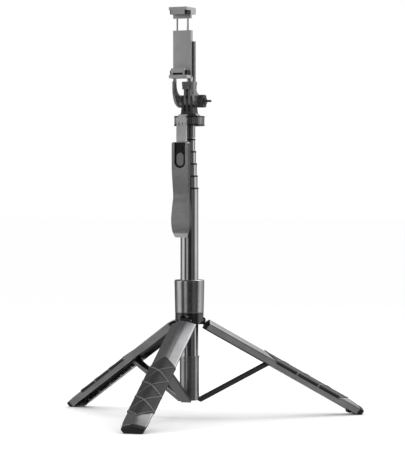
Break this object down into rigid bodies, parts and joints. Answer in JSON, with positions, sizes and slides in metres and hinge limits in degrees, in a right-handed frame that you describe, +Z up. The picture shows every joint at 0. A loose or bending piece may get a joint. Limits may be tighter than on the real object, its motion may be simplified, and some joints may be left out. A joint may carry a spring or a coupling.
{
  "type": "selfie stick",
  "caption": "Telescopic selfie stick on a folding tripod base, with a tilting phone clamp, a camera screw and a hanging remote.",
  "frame": {"origin": "on the floor plane, on the mast axis, between the three feet", "axes": "+Z up along the mast; -Y is the side that the user, the phone's screen and the remote face; +X is the thumbscrew's side"},
  "size_m": [0.4082, 0.3814, 0.5263],
  "materials": {
    "hub_shell": "satin dark grey anodised collar",
    "hub_plastic": "moulded black plastic",
    "pins": "turned steel pins and screws",
    "leg_shell": "satin gunmetal leg skin",
    "leg_inner": "moulded dark grey plastic",
    "leg_rubber": "fine-textured soft grip with raised ribs",
    "foot_rubber": "black rubber",
    "strut": "satin black stamped steel",
    "boot": "semi-gloss dark grey plastic",
    "tube": "gunmetal anodised tube, drawn along its length",
    "guides": "black plastic",
    "head_plastic": "moulded dark grey plastic",
    "head_ring": "ribbed grey plastic",
    "adapter": "semi-gloss grey plastic",
    "steel": "turned steel",
    "yoke": "satin grey powder coat",
    "clamp": "light grey anodised",
    "clamp_dark": "moulded dark grey plastic",
    "pad": "ribbed soft rubber",
    "remote_shell": "satin gunmetal plastic",
    "remote_dark": "gloss black plastic",
    "board": "green circuit board",
    "cell": "nickel-plated cell"
  },
  "bodies": {
    "hub": {"hub_collar": "hub_shell", "hub_body": "hub_plastic", "leg_pins": "pins"},
    "mast_1": {"tube_1": "tube", "guides_1": "guides", "boot": "boot", "boot_pins": "pins"},
    "mast_2": {"tube_2": "tube", "guides_2": "guides"},
    "mast_3": {"tube_3": "tube", "guides_3": "guides"},
    "mast_4": {"tube_4": "tube", "guides_4": "guides"},
    "mast_5": {"tube_5": "tube", "guides_5": "guides"},
    "mast_6": {"tube_6": "tube", "guides_6": "guides", "head_socket": "head_plastic", "swivel_screw": "pins"},
    "leg_1": {"leg_cover_1": "leg_shell", "leg_frame_1": "leg_inner", "leg_grip_1": "leg_rubber", "leg_foot_1": "foot_rubber", "strut_pin_1": "pins"},
    "strut_arm_1": {"strut_1": "strut"},
    "leg_2": {"leg_cover_2": "leg_shell", "leg_frame_2": "leg_inner", "leg_grip_2": "leg_rubber", "leg_foot_2": "foot_rubber", "strut_pin_2": "pins"},
    "strut_arm_2": {"strut_2": "strut"},
    "leg_3": {"leg_cover_3": "leg_shell", "leg_frame_3": "leg_inner", "leg_grip_3": "leg_rubber", "leg_foot_3": "foot_rubber", "strut_pin_3": "pins"},
    "strut_arm_3": {"strut_3": "strut"},
    "head": {"prong_mount": "head_plastic", "swivel_ring": "head_ring", "hanger": "remote_shell"},
    "thumbscrew": {"thumb_knob": "head_plastic", "thumb_bolt": "steel"},
    "adapter": {"camera_adapter": "adapter", "camera_screw": "steel"},
    "wheel": {"camera_wheel": "adapter"},
    "tilt_yoke": {"yoke": "yoke", "lock_nut": "steel"},
    "clamp": {"clamp_body": "clamp", "clamp_cover": "clamp_dark", "lower_pad": "pad", "clamp_pivot": "pins"},
    "jaw": {"upper_jaw": "clamp", "upper_pad": "pad", "jaw_rods": "pins"},
    "remote": {"remote_front": "remote_shell", "remote_back": "remote_dark", "remote_panel": "remote_dark", "remote_board": "board", "coin_cell": "cell"},
    "shutter": {"shutter_button": "remote_shell"}
  },
  "joints": [
    {"name": "mast_slide", "type": "slide", "parent": "hub", "child": "mast_1", "axis": [0, 0, -1], "range_m": [0, 0.10982]},
    {"name": "leg_1_fold", "type": "hinge", "parent": "hub", "child": "leg_1", "pos_m": [0.00214, -0.01606, 0.1255], "axis": [0.9912, 0.1323, 0], "range_deg": [0, 60.01]},
    {"name": "strut_1_fold", "type": "hinge", "parent": "leg_1", "child": "strut_arm_1", "pos_m": [0.01426, -0.10686, 0.07113], "axis": [0.9912, 0.1323, 0], "range_deg": [-122.91, 0]},
    {"name": "leg_2_fold", "type": "hinge", "parent": "hub", "child": "leg_2", "pos_m": [0.01284, 0.00988, 0.1255], "axis": [-0.6101, 0.7923, 0], "range_deg": [0, 60.01]},
    {"name": "strut_2_fold", "type": "hinge", "parent": "leg_2", "child": "strut_arm_2", "pos_m": [0.08541, 0.06578, 0.07113], "axis": [-0.6101, 0.7923, 0], "range_deg": [-122.91, 0]},
    {"name": "leg_3_fold", "type": "hinge", "parent": "hub", "child": "leg_3", "pos_m": [-0.01498, 0.00617, 0.1255], "axis": [-0.3811, -0.9245, 0], "range_deg": [0, 60.01]},
    {"name": "strut_3_fold", "type": "hinge", "parent": "leg_3", "child": "strut_arm_3", "pos_m": [-0.09967, 0.04108, 0.07113], "axis": [-0.3811, -0.9245, 0], "range_deg": [-122.91, 0]},
    {"name": "section_2_slide", "type": "slide", "parent": "mast_1", "child": "mast_2", "axis": [0, 0, 1], "range_m": [0, 0.22]},
    {"name": "section_3_slide", "type": "slide", "parent": "mast_2", "child": "mast_3", "axis": [0, 0, 1], "range_m": [0, 0.22]},
    {"name": "section_4_slide", "type": "slide", "parent": "mast_3", "child": "mast_4", "axis": [0, 0, 1], "range_m": [0, 0.22]},
    {"name": "section_5_slide", "type": "slide", "parent": "mast_4", "child": "mast_5", "axis": [0, 0, 1], "range_m": [0, 0.22]},
    {"name": "section_6_slide", "type": "slide", "parent": "mast_5", "child": "mast_6", "axis": [0, 0, 1], "range_m": [0, 0.22]},
    {"name": "head_swivel", "type": "hinge", "parent": "mast_6", "child": "head", "pos_m": [0, 0, 0.382], "axis": [0, 0, 1], "continuous": true},
    {"name": "thumbscrew_turn", "type": "hinge", "parent": "head", "child": "thumbscrew", "pos_m": [0, 0, 0.407], "axis": [1, 0, 0], "continuous": true},
    {"name": "adapter_tilt", "type": "hinge", "parent": "head", "child": "adapter", "pos_m": [0, 0, 0.407], "axis": [1, 0, 0], "range_deg": [-75, 3]},
    {"name": "camera_wheel_turn", "type": "hinge", "parent": "adapter", "child": "wheel", "pos_m": [0, 0, 0.43], "axis": [0, 0, 1], "continuous": true},
    {"name": "yoke_tilt", "type": "hinge", "parent": "head", "child": "tilt_yoke", "pos_m": [0, 0, 0.407], "axis": [1, 0, 0], "range_deg": [-4, 80]},
    {"name": "clamp_turn", "type": "hinge", "parent": "tilt_yoke", "child": "clamp", "pos_m": [0, -0.017, 0.473], "axis": [0, 1, 0], "range_deg": [-90, 90]},
    {"name": "jaw_slide", "type": "slide", "parent": "clamp", "child": "jaw", "axis": [0, 0, 1], "range_m": [-0.014, 0.018]},
    {"name": "remote_slide", "type": "slide", "parent": "head", "child": "remote", "axis": [0, 0, -1], "range_m": [0, 0.005]},
    {"name": "shutter_press", "type": "slide", "parent": "remote", "child": "shutter", "axis": [0, 1, 0], "range_m": [0, 0.0008], "stiffness_N_per_m": 400}
  ],
  "couplings": [
    {"joint": "leg_1_fold", "follows": "mast_slide", "rad_per_m": 9.5358},
    {"joint": "strut_1_fold", "follows": "mast_slide", "rad_per_m": -19.53},
    {"joint": "leg_2_fold", "follows": "mast_slide", "rad_per_m": 9.5358},
    {"joint": "strut_2_fold", "follows": "mast_slide", "rad_per_m": -19.53},
    {"joint": "leg_3_fold", "follows": "mast_slide", "rad_per_m": 9.5358},
    {"joint": "strut_3_fold", "follows": "mast_slide", "rad_per_m": -19.53}
  ]
}
